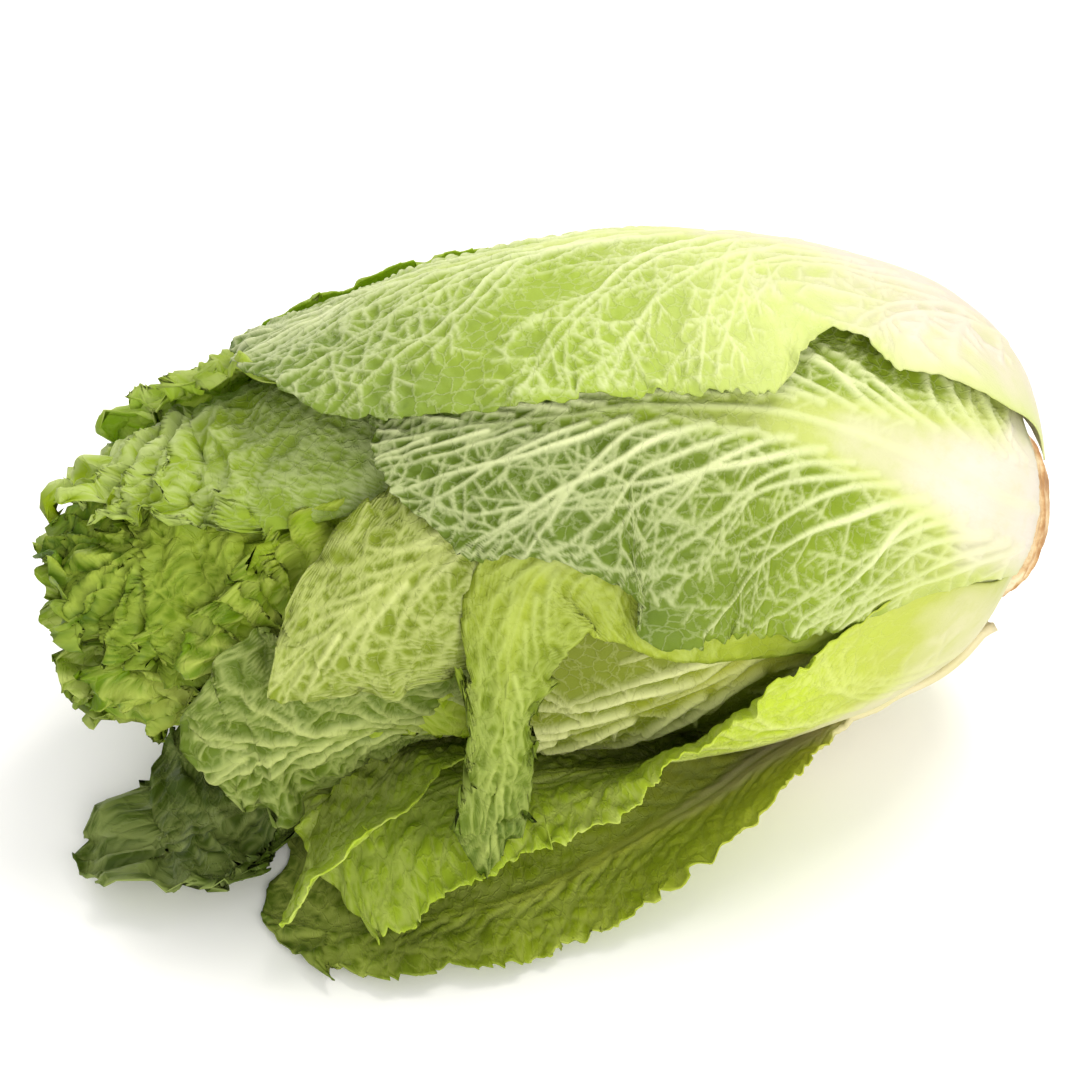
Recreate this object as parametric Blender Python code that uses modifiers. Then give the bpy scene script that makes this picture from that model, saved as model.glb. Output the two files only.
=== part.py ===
"""Napa cabbage lying on its side: a cut stem and the separate leaves wrapped round it.

The head's axis runs along X, with the cut stem at +X and the leaf tips at -X. Each leaf
is drawn on its own layer of one nested shape, so the leaves wrap round each other and
never cross. A place on a layer is given by its distance from the cut stem along the axis,
and by its angle round the axis: 0 is the front (-Y), 90 the top, -90 the underside.
"""

import math
import random

import bmesh
import bpy
import numpy as np

MM = 0.001

# Driving dimensions, in millimetres.
HEAD_LENGTH = 325.0
CORE_LENGTH = 75.0
STEM_RADIUS = 36.0
HEAD_PROFILE = (  # distance from the cut stem, radius of the outermost layer
    (-8, 24),
    (0, STEM_RADIUS),
    (12, 55),
    (35, 73),
    (70, 86),
    (120, 93.5),
    (170, 93),
    (220, 86),
    (275, 73),
    (HEAD_LENGTH, 50),
)
AXIS_HEIGHT = (  # distance from the cut stem, height of the axis: the head sags at both ends
    (0, 78),
    (50, 90),
    (110, 95.5),
    (170, 95.5),
    (230, 90),
    (HEAD_LENGTH, 74),
)
RIB_THICKNESS = 3.4
BLADE_THICKNESS = 0.9
INNER_RIB_SHARE = 0.6  # the rib thickness of the innermost leaves, over the outermost's
RIB_FADE_LENGTH = 260.0  # the rib thins out towards the tip over this length
RIB_FADE_LEAST = 0.1
RIB_HALF_WIDTH = ((0, 22), (60, 17), (110, 9), (170, 4), (250, 2.5), (340, 2))
TABLE_LAYER = 1.01
TABLE_GAP = 4.5  # height of the bottom of the table layer, flattened by the head's weight
FLAT_SPACING = 85.0  # distance between the bottoms of the layers 0 and 1
FLAT_SOFTNESS = 3.0
BUTT_LENGTH = 9.0
BUTT_RADIUS = 27.0
BUTT_BEVEL = (2.0, 1.5)  # across and along the butt's rim
SHOULDER_BEVEL = (3.0, 3.5)  # across and along, where the butt widens to the leaves' foot
CONE_WAIST = 0.5  # half way up the cone its radius is half the foot's
CONE_TIP_RADIUS = 3.0
CONE_TIP, CONE_END = 0.84, 0.86  # where the cone's blunt end starts and ends, over its length
LAYER_CLEARANCE = 2.5
STEM_TILT = math.radians(12)
STEM_SIDES = 28

WHITE_GREEN = (0.80, 0.82, 0.52)
PALE_GREEN = (0.52, 0.63, 0.22)
BRIGHT_GREEN = (0.33, 0.47, 0.08)
DARK_GREEN = (0.13, 0.24, 0.03)
STEM_CREAM = (0.80, 0.70, 0.47)

# A shaped leaf: layer, tip rounding, colour, and rows from base to tip. A row holds the
# distance along the head, the angle of the midrib, the half widths towards lower and
# higher angles, and how far midrib, lower margin and higher margin stand off the layer.
SHAPED_LEAVES = {
    "outer_leaf_top": (1.02, 0.10, PALE_GREEN, (
        (0, 105, 28, 24, 0, 0, 0),
        (20, 107, 48, 34, 0, 0, 0),
        (40, 108, 60, 44, 0, 0, 0),
        (60, 110, 66, 54, 0, 1, 0),
        (78, 111, 62, 60, 0, 3, 0),
        (96, 112, 84, 68, 0, 3, 0),
        (135, 112, 90, 78, 0, 3, 0),
        (168, 110, 84, 80, 0, 3, 0),
        (195, 108, 76, 76, 0, 3, 0),
        (216, 107, 66, 66, 0, 3, 0),
        (240, 107, 50, 50, 0, 4, 0),
        (256, 108, 34, 30, 0, 5, 0),
    )),
    "outer_leaf_front": (0.965, 0.12, PALE_GREEN, (
        (2.6, 38, 24, 24, 0, 0, 0),
        (30, 38, 27, 40, 0, 0, 0),
        (48, 42, 42, 40, 0, 1, 0),
        (72, 48, 64, 56, 0, 1, 0),
        (108, 55, 72, 68, 0, 1, 0),
        (135, 57, 76, 72, 0, 1, 0),
        (148, 58, 66, 74, 0, 2, 0),
        (162, 58, 50, 74, 0, 3, 0),
        (192, 60, 42, 66, 0, 3, 0),
        (220, 62, 34, 44, 0, 3, 0),
    )),
    "lower_leaf_front": (0.935, 0.06, BRIGHT_GREEN, (
        (4.9, -35, 20, 24, 0, 0, 0),
        (30, -36, 26, 52, 0, 0, 0),
        (55, -38, 40, 68, 0, 0, 0),
        (83, -42, 52, 67, 0, 0, 2),
        (105, -45, 58, 60, 0, 0, 3),
        (132, -48, 60, 49, 0, 0, 6),
        (152, -51, 60, 36, 1, 0, 13),
        (190, -54, 58, 36, 1, 0, 24),
        (222, -55, 48, 36, 2, 0, 38),
        (245, -55, 36, 32, 6, 0, 50),
        (262, -54, 28, 28, 9, 1, 58),
        (274, -52, 22, 20, 12, 3, 60),
    )),
    "bottom_leaf": (1.045, 0.06, BRIGHT_GREEN, (
        (0, -60, 24, 10, 0, 0, 0),
        (30, -62, 34, 10, -2, 0, -2),
        (60, -62, 44, 15, -2, 0, -2),
        (90, -60, 56, 34, 1, 0, 4),
        (110, -58, 64, 40, 8, 0, 14),
        (130, -55, 70, 36, 13, 0, 24),
        (160, -51, 76, 28, 22, 0, 40),
        (190, -46.5, 76, 18, 32, 2, 53),
        (225, -44, 70, 14, 40, 4, 56),
        (250, -42, 64, 12, 45, 8, 62),
        (275, -43, 50, 10, 47, 12, 60),
        (292, -46, 34, 10, 46, 16, 50),
    )),
    "under_leaf": (0.975, 0.12, DARK_GREEN, (
        (1.9, -85, 24, 22, 0, 0, 0),
        (40, -86, 34, 30, 0, 0, 0),
        (100, -86, 50, 44, 0, 0, 0),
        (150, -84, 66, 40, 0, 0, 0),
        (200, -80, 70, 34, 1, 0, 3),
        (250, -78, 58, 22, 2, 0, 6),
        (268, -74, 50, 18, 6, 0, 12),
        (284, -68, 42, 18, 14, 4, 22),
        (302, -60, 34, 22, 26, 12, 38),
        (324, -52, 28, 22, 34, 20, 48),
        (338, -48, 20, 16, 38, 26, 52),
    )),
    "drooping_leaf": (0.905, 0.08, PALE_GREEN, (
        (7.2, 25, 20, 20, 0, 0, 0),
        (40, 26, 30, 28, 0, 0, 0),
        (90, 28, 42, 34, 0, 0, 0),
        (135, 31, 44, 34, 0, 0, 0),
        (160, 31, 30, 26, 0, 1, 0),
        (178, 27, 20, 16, 1.5, 4, 0),
        (188, 17, 16, 16, 7, 8, 5),
        (195, 4, 14, 14, 15, 15, 15),
        (200, -10, 15, 15, 22, 22, 22),
        (206, -22, 16, 16, 31, 31, 31),
        (210, -33, 9, 9, 40, 40, 40),
    )),
    "long_tip_leaf": (0.875, 0.15, PALE_GREEN, (
        (9.4, 85, 22, 20, 0, 0, 0),
        (60, 80, 34, 32, 0, 0, 0),
        (130, 62, 48, 44, 0, 0, 0),
        (175, 46, 42, 38, 0, 0, 0),
        (200, 37, 36, 28, 2, 2, 2),
        (225, 29, 32, 22, 8, 9, 5),
        (248, 20, 25, 17, 12, 13, 10),
        (266, 11, 11, 9, 17, 17, 17),
    )),
    "inner_front_leaf": (0.845, 0.15, PALE_GREEN, (
        (11.6, 8, 22, 22, 0, 0, 0),
        (60, 6, 38, 36, 0, 0, 0),
        (95, 0, 52, 40, 0, 0, 0),
        (130, -12, 56, 44, 0, 0, 0),
        (178, -28, 52, 46, 0, 0, 0),
        (192, -31, 40, 36, 0, 0, 0),
        (202, -32, 28, 26, 0, 0, 0),
    )),
    "pointed_tip_leaf": (0.805, 0.10, BRIGHT_GREEN, (
        (14.6, -110, 22, 22, 0, 0, 0),
        (60, -108, 36, 36, 0, 0, 0),
        (120, -96, 50, 50, 0, 0, 0),
        (180, -76, 46, 46, 0, 0, 0),
        (210, -62, 32, 32, 0, 0, 0),
        (228, -52, 24, 26, 3, 0, 5),
        (245, -42, 20, 23, 19, 8, 26),
        (262, -36, 18, 20, 37, 26, 44),
        (284, -31, 9, 9, 66, 62, 68),
    )),
    "fan_tip_leaf": (0.755, 0.22, BRIGHT_GREEN, (
        (18.4, -70, 19, 22, 0, 0, 0),
        (80, -66, 40, 40, 0, 0, 0),
        (150, -46, 54, 50, 0, 0, 0),
        (200, -32, 50, 46, 0, 0, 0),
        (238, -18, 34, 44, 6, 9, 4),
        (262, -13, 28, 40, 13, 24, 6),
        (282, -11, 26, 34, 19, 32, 9),
        (298, -10, 17, 22, 23, 32, 15),
    )),
    "curled_leaf_front": (0.733, 0.20, BRIGHT_GREEN, (
        (20.3, 22, 18, 18, 0, 0, 0),
        (60, 22, 34, 34, 0, 0, 0),
        (120, 20, 50, 50, 0, 0, 0),
        (180, 18, 58, 54, 0, 0, 0),
        (230, 15, 54, 50, 0, 0, 0),
        (262, 13, 46, 44, 1, 1, 1),
        (290, 13, 32, 32, 4, 4, 4),
    )),
    "curled_leaf_low": (0.665, 0.20, BRIGHT_GREEN, (
        (25.5, -18, 18, 18, 0, 0, 0),
        (70, -18, 34, 34, 0, 0, 0),
        (130, -18, 50, 50, 0, 0, 0),
        (190, -16, 56, 56, 0, 0, 0),
        (250, -12, 54, 54, 0, 0, 0),
        (290, -8, 42, 44, 0, 1, 0),
        (324, -4, 28, 26, 2, 3, 0),
    )),
}

# A plain leaf: layer, angle of the midrib, distance of the tip from the cut stem, colour.
PLAIN_LEAVES = {
    "outer_leaf_back": (1.06, 195, 298, PALE_GREEN),
    "lower_leaf_back": (1.01, 228, 262, DARK_GREEN),
    "upper_leaf_back": (0.93, 152, 302, BRIGHT_GREEN),
    "middle_leaf_back": (0.90, 215, 316, BRIGHT_GREEN),
    "shoulder_leaf": (0.815, 115, 325, BRIGHT_GREEN),
    "inner_leaf_back": (0.765, 200, 333, BRIGHT_GREEN),
    "inner_leaf_top": (0.70, 60, 338, BRIGHT_GREEN),
}
HEART_LEAVES = 12
HEART_FIRST_LAYER = 0.63
HEART_LAYER_STEP = 0.038
HEART_FIRST_ANGLE = 160.0
HEART_TIPS = (334, 344)  # nearest and furthest tip from the cut stem
SPIRAL_ANGLE = 137.5  # the angle from one leaf to the next round the stem
PLAIN_HALF_WIDTH = ((0, 27), (40, 36), (90, 58), (140, 86), (190, 104), (340, 104))
PLAIN_SPREAD = 1.15  # the widest half width of a leaf, over its layer's radius
PLAIN_ROWS = 9
PLAIN_INNER_WIDTH = 0.45  # the width of the innermost plain leaves, over the outermost's
PLAIN_ROUNDING = 0.22

OUTER_GRID = (10, 11)
HEART_GRID = (8, 7)
LIFT_POWER = 1.4
ROUNDING_POWER = 2.2
BASE_CROWDING = 1.35  # grid rows are closer together near the base, which bends most


def smooth_curve(points, at):
    """The value at each place on a smooth curve through the points."""
    places = np.array([p[0] for p in points], float)
    values = np.array([p[1] for p in points], float)
    slopes = np.gradient(values, places)
    at = np.clip(at, places[0], places[-1])
    i = np.clip(np.searchsorted(places, at, side="right") - 1, 0, len(places) - 2)
    step = places[i + 1] - places[i]
    t = (at - places[i]) / step
    ahead = t * t * (3 - 2 * t)
    leaving = step * slopes[i] * t * (1 - t) ** 2
    arriving = step * slopes[i + 1] * t * t * (t - 1)
    return values[i] * (1 - ahead) + values[i + 1] * ahead + leaving + arriving


def layer_radius(layer, along):
    """The radius of a layer, whose leaves start where its foot meets the stem's cone."""
    foot = CORE_LENGTH * (1 - layer)
    return layer * smooth_curve(HEAD_PROFILE, (along - foot) * HEAD_LENGTH / (HEAD_LENGTH - foot))


def in_the_room(layer, along, angle, radius):
    """World positions, in millimetres, with the underside flattened by the head's weight."""
    turn = np.radians(angle)
    height = smooth_curve(AXIS_HEIGHT, along)
    slope = (smooth_curve(AXIS_HEIGHT, along + 2) - smooth_curve(AXIS_HEIGHT, along - 2)) / 4
    tilt = np.sqrt(1 + slope * slope)
    x = HEAD_LENGTH / 2 - along + radius * np.sin(turn) * slope / tilt
    y = -radius * np.cos(turn)
    z = height + radius * np.sin(turn) / tilt
    floor = TABLE_GAP + (TABLE_LAYER - layer) * FLAT_SPACING
    z = floor + FLAT_SOFTNESS * np.logaddexp(0, (z - floor) / FLAT_SOFTNESS)
    return np.stack([x, y, z], -1)


def plain_rows(layer, angle, length):
    """Rows of a leaf that wraps straight along the head."""
    foot = CORE_LENGTH * (1 - layer)
    rows = []
    for along in np.linspace(max(foot, 0) + 0.3, length, PLAIN_ROWS):
        share = PLAIN_INNER_WIDTH + (1 - PLAIN_INNER_WIDTH) * layer
        grown = smooth_curve(PLAIN_HALF_WIDTH, along - foot) * share
        half = min(grown, PLAIN_SPREAD * layer_radius(layer, along))
        rows.append((along, angle, half, half, 0, 0, 0))
    return rows


def leaf_places(layer, rounding, rows, up, across):
    """World positions of the leaf's middle surface, and how much each is rib."""
    rows = np.array(rows, float)
    middle_radius = layer_radius(layer, rows[:, 0])
    steps = np.hypot(np.diff(rows[:, 0]), np.radians(np.diff(rows[:, 1])) * middle_radius[1:])
    places = np.concatenate([[0], np.cumsum(steps)]) / steps.sum()
    curves = [list(zip(places, rows[:, column])) for column in range(1, 7)]
    t = up * (1 - rounding * np.abs(across) ** ROUNDING_POWER)
    along_curve = list(zip(places, rows[:, 0]))
    along = smooth_curve(along_curve, t)
    angle, low, high, lift, lift_low, lift_high = (smooth_curve(c, t) for c in curves)
    radius = layer_radius(layer, along)
    nudge = 0.01
    run = smooth_curve(along_curve, t + nudge) - smooth_curve(along_curve, t - nudge)
    turn = smooth_curve(curves[0], t + nudge) - smooth_curve(curves[0], t - nudge)
    turn = np.radians(turn) * radius
    size = np.hypot(run, turn)
    offset = across * np.where(across > 0, high, low)
    along = along - offset * turn / size
    angle = angle + np.degrees(offset * run / size / radius)
    edge_lift = np.where(across > 0, lift_high, lift_low)
    lift = lift + (edge_lift - lift) * np.abs(across) ** LIFT_POWER
    radius = layer_radius(layer, along) + lift
    foot = rows[0, 0]
    rib = smooth_curve(RIB_HALF_WIDTH, along - foot)
    ribbed = np.exp(-((offset / rib) ** 2)) * np.clip(
        1.15 - (along - foot) / RIB_FADE_LENGTH, RIB_FADE_LEAST, 1
    )
    return in_the_room(layer, along, angle, radius), ribbed


def material(name, colour, roughness=0.55):
    made = bpy.data.materials.new(name)
    made.use_nodes = True
    surface = made.node_tree.nodes["Principled BSDF"]
    surface.inputs["Base Color"].default_value = (*colour, 1)
    surface.inputs["Roughness"].default_value = roughness
    surface.inputs["Metallic"].default_value = 0.0
    return made


def add_object(name, mesh, colour):
    made = bpy.data.objects.new(name, mesh)
    mesh.materials.append(material(name + "_skin", colour))
    head.objects.link(made)
    made.parent = standing
    return made


def add_leaf(name, layer, rounding, rows, colour, grid):
    """A grid laid along the leaf's rows and given thickness, most of it along the rib."""
    mesh = bpy.data.meshes.new(name)
    cage = bmesh.new()
    bmesh.ops.create_grid(cage, x_segments=grid[0], y_segments=grid[1], size=1)
    flat = np.array([vertex.co[:2] for vertex in cage.verts])
    up = ((flat[:, 1] + 1) / 2) ** BASE_CROWDING
    places, ribbed = leaf_places(layer, rounding, rows, up, flat[:, 0])
    for vertex, place in zip(cage.verts, places):
        vertex.co = place * MM
    cage.to_mesh(mesh)
    cage.free()
    mesh.shade_smooth()
    leaf = add_object(name, mesh, colour)
    group = leaf.vertex_groups.new(name="rib")
    for index, weight in enumerate(ribbed):
        group.add([index], float(weight), "REPLACE")
    thick = leaf.modifiers.new("thickness", "SOLIDIFY")
    share = INNER_RIB_SHARE + (1 - INNER_RIB_SHARE) * min(layer, 1)
    thick.thickness = RIB_THICKNESS * MM * share
    thick.offset = 0
    thick.vertex_group = "rib"
    thick.thickness_vertex_group = BLADE_THICKNESS / RIB_THICKNESS
    return leaf


def add_stem():
    """The cut stem: a turned butt with a cone inside the head that the leaves grow from."""
    top = layer_radius(1.0, 0.0) - LAYER_CLEARANCE
    profile = (
        (0, -BUTT_LENGTH),
        (BUTT_RADIUS - BUTT_BEVEL[0], -BUTT_LENGTH),
        (BUTT_RADIUS, BUTT_BEVEL[1] - BUTT_LENGTH),
        (top - SHOULDER_BEVEL[0], -SHOULDER_BEVEL[1]),
        (top, 0),
        (top * CONE_WAIST, CORE_LENGTH * CONE_WAIST),
        (CONE_TIP_RADIUS, CORE_LENGTH * CONE_TIP),
        (0, CORE_LENGTH * CONE_END),
    )
    mesh = bpy.data.meshes.new("stem")
    corners = [(radius * MM, 0, -along * MM) for radius, along in profile]
    mesh.from_pydata(corners, [(i, i + 1) for i in range(len(corners) - 1)], [])
    stem = add_object("stem", mesh, STEM_CREAM)
    stem.location = (HEAD_LENGTH / 2 * MM, 0, AXIS_HEIGHT[0][1] * MM)
    stem.rotation_euler = (0, math.pi / 2 + STEM_TILT, 0)
    turned = stem.modifiers.new("turned", "SCREW")
    turned.axis = "Z"
    turned.steps = turned.render_steps = STEM_SIDES
    turned.use_merge_vertices = True
    turned.merge_threshold = 0.00001
    return stem


for old in list(bpy.data.objects):
    bpy.data.objects.remove(old)
head = bpy.data.collections.new("napa_cabbage")
bpy.context.scene.collection.children.link(head)
standing = bpy.data.objects.new("standing", None)
head.objects.link(standing)

add_stem()
for name, (layer, rounding, colour, rows) in SHAPED_LEAVES.items():
    add_leaf(name, layer, rounding, rows, colour, OUTER_GRID)
for name, (layer, angle, length, colour) in PLAIN_LEAVES.items():
    rows = plain_rows(layer, angle, length)
    add_leaf(name, layer, PLAIN_ROUNDING, rows, colour, OUTER_GRID)
draw = random.Random(7)
for number in range(HEART_LEAVES):
    layer = HEART_FIRST_LAYER - HEART_LAYER_STEP * number
    angle = HEART_FIRST_ANGLE + SPIRAL_ANGLE * number
    rows = plain_rows(layer, angle, draw.uniform(*HEART_TIPS))
    name = f"heart_leaf_{number + 1:02d}"
    add_leaf(name, layer, PLAIN_ROUNDING, rows, WHITE_GREEN, HEART_GRID)

# The origin is under the middle of the head, on the surface that it lies on.
bpy.context.view_layer.update()
graph = bpy.context.evaluated_depsgraph_get()
corners = []
for piece in head.objects:
    if piece.type != "MESH":
        continue
    evaluated = piece.evaluated_get(graph)
    solid = evaluated.to_mesh()
    points = np.empty(len(solid.vertices) * 3, np.float32)
    solid.vertices.foreach_get("co", points)
    placing = np.array(evaluated.matrix_world)
    corners.append(points.reshape(-1, 3) @ placing[:3, :3].T + placing[:3, 3])
    evaluated.to_mesh_clear()
corners = np.concatenate(corners)
lowest, highest = corners.min(axis=0), corners.max(axis=0)
standing.location = (
    -(lowest[0] + highest[0]) / 2,
    -(lowest[1] + highest[1]) / 2,
    -lowest[2],
)
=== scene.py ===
import math
import random

import bpy
import numpy as np
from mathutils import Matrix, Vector


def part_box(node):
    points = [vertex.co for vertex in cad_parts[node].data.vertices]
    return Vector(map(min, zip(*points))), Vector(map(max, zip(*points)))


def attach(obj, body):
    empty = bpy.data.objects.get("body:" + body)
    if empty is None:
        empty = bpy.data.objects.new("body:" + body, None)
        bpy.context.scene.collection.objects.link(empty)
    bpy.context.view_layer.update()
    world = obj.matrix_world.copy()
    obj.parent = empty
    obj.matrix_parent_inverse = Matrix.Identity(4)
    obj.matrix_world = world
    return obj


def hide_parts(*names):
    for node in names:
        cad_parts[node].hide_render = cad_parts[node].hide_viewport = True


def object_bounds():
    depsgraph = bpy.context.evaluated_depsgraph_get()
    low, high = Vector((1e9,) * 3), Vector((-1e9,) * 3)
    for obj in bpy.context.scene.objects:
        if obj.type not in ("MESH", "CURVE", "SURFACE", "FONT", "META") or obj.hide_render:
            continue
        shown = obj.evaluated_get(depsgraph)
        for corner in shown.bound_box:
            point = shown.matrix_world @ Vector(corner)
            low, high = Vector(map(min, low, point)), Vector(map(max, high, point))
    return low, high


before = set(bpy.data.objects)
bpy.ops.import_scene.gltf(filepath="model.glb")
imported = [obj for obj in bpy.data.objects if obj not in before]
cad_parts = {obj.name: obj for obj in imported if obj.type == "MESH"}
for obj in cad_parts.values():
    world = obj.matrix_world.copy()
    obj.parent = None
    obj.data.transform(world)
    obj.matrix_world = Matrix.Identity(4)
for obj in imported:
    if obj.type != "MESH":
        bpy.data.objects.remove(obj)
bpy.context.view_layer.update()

# --- The cut stem ----------------------------------------------------------------------
# The butt is where the head was cut from its root: dense cream flesh that dries to tan,
# ringed by the torn scars of leaves that were stripped off. A cone of the same flesh
# runs up inside the head, and every leaf grows from it.

MM = 0.001
HEAD_LENGTH = 325.0
CORE_LENGTH = 75.0
HEAD_PROFILE = (  # distance from the cut stem, radius of the outermost layer
    (-8, 24),
    (0, 36),
    (12, 55),
    (35, 73),
    (70, 86),
    (120, 93.5),
    (170, 93),
    (220, 86),
    (275, 73),
    (HEAD_LENGTH, 50),
)
AXIS_HEIGHT = (  # distance from the cut stem, height of the axis: the head sags at both ends
    (0, 78),
    (50, 90),
    (110, 95.5),
    (170, 95.5),
    (230, 90),
    (HEAD_LENGTH, 74),
)
STEM_TILT = math.radians(12)
STEM_PROFILE = (  # distance along the stem from the leaves' foot, radius
    (-9, 0),
    (-9, 25),
    (-7.5, 27),
    (-3.5, 30.5),
    (0, 33.5),
    (37.5, 16.75),
    (63, 3),
    (64.5, 0),
)
STEM_SIDES = 28
SPIRAL_ANGLE = 137.5  # degrees, from one leaf or its scar to the next round the stem
CHART_SIZE = 400.0  # mm of leaf in one unit of its flat chart


def on_the_stem(along, radius, turn):
    """World place, in millimetres from the head's own origin, of a point on the stem."""
    down = radius * np.cos(turn)
    y = radius * np.sin(turn)
    x = HEAD_LENGTH / 2 - along * math.cos(STEM_TILT) - down * math.sin(STEM_TILT)
    z = AXIS_HEIGHT[0][1] + along * math.sin(STEM_TILT) - down * math.cos(STEM_TILT)
    return np.stack([x, y, z], -1)


# The head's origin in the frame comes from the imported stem, which has the same corners.
corner_turns = np.arange(STEM_SIDES) * 2 * math.pi / STEM_SIDES
stem_corners = np.concatenate(
    [on_the_stem(along, radius, corner_turns) for along, radius in STEM_PROFILE]
)
stem_low, stem_high = (np.array(corner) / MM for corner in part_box("stem"))
HEAD_ORIGIN = (stem_low + stem_high - stem_corners.min(0) - stem_corners.max(0)) / 2


def smooth_curve(points, at):
    """The value at each place on a smooth curve through the points."""
    places = np.array([p[0] for p in points], float)
    values = np.array([p[1] for p in points], float)
    slopes = np.gradient(values, places)
    at = np.clip(at, places[0], places[-1])
    i = np.clip(np.searchsorted(places, at, side="right") - 1, 0, len(places) - 2)
    step = places[i + 1] - places[i]
    t = (at - places[i]) / step
    ahead = t * t * (3 - 2 * t)
    leaving = step * slopes[i] * t * (1 - t) ** 2
    arriving = step * slopes[i + 1] * t * t * (t - 1)
    return values[i] * (1 - ahead) + values[i + 1] * ahead + leaving + arriving


def soft_noise(x, y, seed):
    """Smooth random values between about -1 and 1 that turn over once a unit."""
    x, y = np.broadcast_arrays(np.asarray(x, float), np.asarray(y, float))
    column, row = np.floor(x).astype(np.int64), np.floor(y).astype(np.int64)
    dx, dy = x - column, y - row
    fade_x = dx**3 * (dx * (dx * 6 - 15) + 10)
    fade_y = dy**3 * (dy * (dy * 6 - 15) + 10)

    def corner(i, j):
        mixed = (column + i) * 374761393 + (row + j) * 668265263 + seed * 974634777
        mixed = mixed & 0xFFFFFFFF
        mixed = ((mixed ^ (mixed >> 13)) * 1274126177) & 0xFFFFFFFF
        turn = (mixed ^ (mixed >> 16)) * (2 * math.pi / 2**32)
        return np.cos(turn) * (dx - i) + np.sin(turn) * (dy - j)

    near = corner(0, 0) * (1 - fade_x) + corner(1, 0) * fade_x
    far = corner(0, 1) * (1 - fade_x) + corner(1, 1) * fade_x
    return 1.5 * (near * (1 - fade_y) + far * fade_y)


def rough_noise(x, y, seed, octaves=3):
    """Soft noise with finer, weaker layers of itself added."""
    total = 0
    for octave in range(octaves):
        total = total + soft_noise(x * 2**octave, y * 2**octave, seed + octave * 17) / 2**octave
    return total


def lay_mesh(name, places, faces, values, flat=None):
    """A mesh object from places in millimetres, with named values on its points."""
    mesh = bpy.data.meshes.new(name)
    mesh.vertices.add(len(places))
    mesh.vertices.foreach_set("co", ((places + HEAD_ORIGIN) * MM).astype(np.float32).ravel())
    mesh.loops.add(faces.size)
    mesh.loops.foreach_set("vertex_index", faces.astype(np.int32).ravel())
    mesh.polygons.add(len(faces))
    mesh.polygons.foreach_set("loop_start", np.arange(0, faces.size, 4, dtype=np.int32))
    mesh.update(calc_edges=True)
    mesh.shade_smooth()
    for label, value in values.items():
        layer = mesh.attributes.new(label, "FLOAT", "POINT")
        layer.data.foreach_set("value", np.asarray(value, np.float32))
    if flat is not None:
        chart = mesh.uv_layers.new(name="leaf_mm")
        spread = (flat[faces.ravel()] / CHART_SIZE).astype(np.float32)
        chart.data.foreach_set("uv", spread.ravel())
    made = bpy.data.objects.new(name, mesh)
    bpy.context.scene.collection.objects.link(made)
    return made


def colour(code):
    """A linear colour from an sRGB hex value."""
    shares = [int(code[i : i + 2], 16) / 255 for i in (1, 3, 5)]
    linear = [v / 12.92 if v <= 0.04045 else ((v + 0.055) / 1.055) ** 2.4 for v in shares]
    return [*linear, 1.0]


def add_node(tree, kind, settings=None, links=None):
    """A node with its settings, and its inputs set or linked by name or number."""
    node = tree.nodes.new(kind)
    for key, value in (settings or {}).items():
        setattr(node, key, value)
    for key, value in (links or {}).items():
        if isinstance(value, bpy.types.NodeSocket):
            tree.links.new(value, node.inputs[key])
        else:
            node.inputs[key].default_value = value
    return node


def new_material(name):
    made = bpy.data.materials.new(name)
    made.use_nodes = True
    made.node_tree.nodes.clear()
    return made, made.node_tree


def ramp(tree, value, *stops):
    """A colour ramp through (place, hex colour) stops."""
    node = add_node(tree, "ShaderNodeValToRGB", links={0: value})
    bands = node.color_ramp.elements
    while len(bands) < len(stops):
        bands.new(1.0)
    for band, (place, code) in zip(bands, stops):
        band.position = place
        band.color = colour(code)
    return node.outputs["Color"]


# Cut stem flesh, air dried: matte cream with tan, corky patches and darker pits, which
# the eye reads as the dry end of something that is wet inside.
SCAR_GRAIN = 1.1  # mm
STAIN_WIDTH = 9.0  # mm

dried_flesh, tree = new_material("dried_stem_flesh")
spot = add_node(tree, "ShaderNodeTexCoord").outputs["Object"]
stain = add_node(
    tree,
    "ShaderNodeTexNoise",
    links={"Vector": spot, "Scale": 1 / (STAIN_WIDTH * MM), "Detail": 6.0, "Roughness": 0.65},
)
grain = add_node(
    tree,
    "ShaderNodeTexNoise",
    links={"Vector": spot, "Scale": 1 / (SCAR_GRAIN * MM), "Detail": 3.0},
)
scar = add_node(tree, "ShaderNodeAttribute", {"attribute_name": "scar"})
dryness = add_node(
    tree,
    "ShaderNodeMath",
    {"operation": "ADD"},
    {0: stain.outputs["Fac"], 1: scar.outputs["Fac"]},
)
flesh = ramp(
    tree,
    dryness.outputs[0],
    (0.38, "#d8caa8"),
    (0.52, "#caae82"),
    (0.68, "#a97f50"),
    (0.95, "#755230"),
)
pitted = add_node(
    tree,
    "ShaderNodeBump",
    links={"Strength": 0.5, "Distance": 0.0006, "Height": grain.outputs["Fac"]},
)
skin = add_node(
    tree,
    "ShaderNodeBsdfPrincipled",
    links={"Base Color": flesh, "Roughness": 0.72, "Normal": pitted.outputs[0]},
)
add_node(tree, "ShaderNodeOutputMaterial", links={"Surface": skin.outputs[0]})

STEM_COLUMNS = 150
BUTT_REACH, BUTT_ROWS, CONE_ROWS = 36, 60, 20  # fine rows on the butt, coarse on the cone
SCAR_COUNT = 13
SCAR_HALF_WIDTH = (0.35, 0.6)  # radians, narrowest and widest
FIRST_SCAR, SCAR_SPREAD = -8.0, 7.0  # mm along the stem
SCAR_BEND = 2.2  # mm that the ends of a scar's lip run up the stem
LIP_WIDTH, GROOVE_AFTER, GROOVE_WIDTH, GROOVE_DEPTH = 0.7, 1.4, 0.9, 0.7
CUT_FACE = -8.8  # mm along the stem: beyond this is the knife's cut
BARK_RADIUS = 20  # mm: only flesh outside this radius is scarred and ragged

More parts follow.
